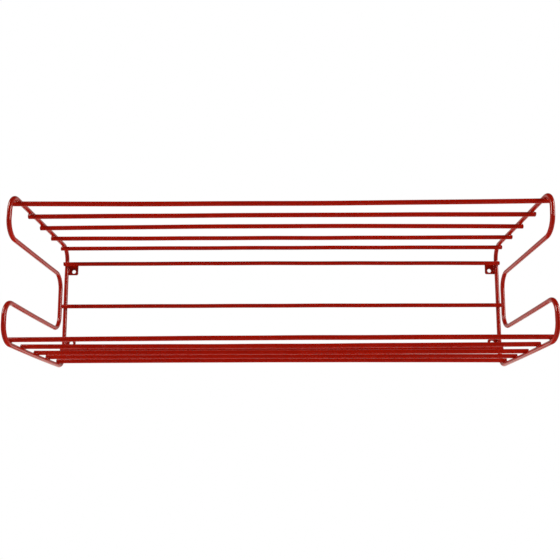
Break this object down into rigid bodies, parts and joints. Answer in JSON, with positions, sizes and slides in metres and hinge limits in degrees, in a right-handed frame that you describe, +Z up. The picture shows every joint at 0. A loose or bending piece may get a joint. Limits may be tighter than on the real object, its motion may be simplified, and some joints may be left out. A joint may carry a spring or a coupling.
{
  "type": "wall-mounted wire storage rack",
  "caption": "Two-tier welded wire rack for tyre service supplies, with bent-rod side frames, straight shelf wires and screw tabs for a wall.",
  "frame": {"origin": "centre of the pattern of four wall-screw holes, on the wall plane", "axes": "+X along the rack, to the right as seen from the room; +Y into the wall; +Z up; the front of the rack faces -Y"},
  "size_m": [0.63, 0.22, 0.178],
  "materials": {
    "frame_paint": "gloss red powder coat",
    "wire_paint": "gloss red powder coat",
    "tab_paint": "gloss red powder coat on sheet steel",
    "weld_paint": "gloss red powder coat over weld metal"
  },
  "bodies": {
    "root": {"left_side_frame": "frame_paint", "right_side_frame": "frame_paint", "upper_shelf_wire_1": "wire_paint", "upper_shelf_wire_2": "wire_paint", "upper_shelf_wire_3": "wire_paint", "upper_shelf_wire_4": "wire_paint", "upper_shelf_wire_5": "wire_paint", "lower_shelf_wire_1": "wire_paint", "lower_shelf_wire_2": "wire_paint", "lower_shelf_wire_3": "wire_paint", "lower_shelf_wire_4": "wire_paint", "lower_shelf_wire_5": "wire_paint", "upper_back_rail": "wire_paint", "middle_back_rail": "wire_paint", "lower_back_rail": "wire_paint", "upper_left_tab": "tab_paint", "upper_right_tab": "tab_paint", "lower_left_tab": "tab_paint", "lower_right_tab": "tab_paint", "upper_shelf_welds": "weld_paint", "lower_shelf_welds": "weld_paint", "back_rail_welds": "weld_paint", "tab_welds": "weld_paint"}
  },
  "joints": []
}
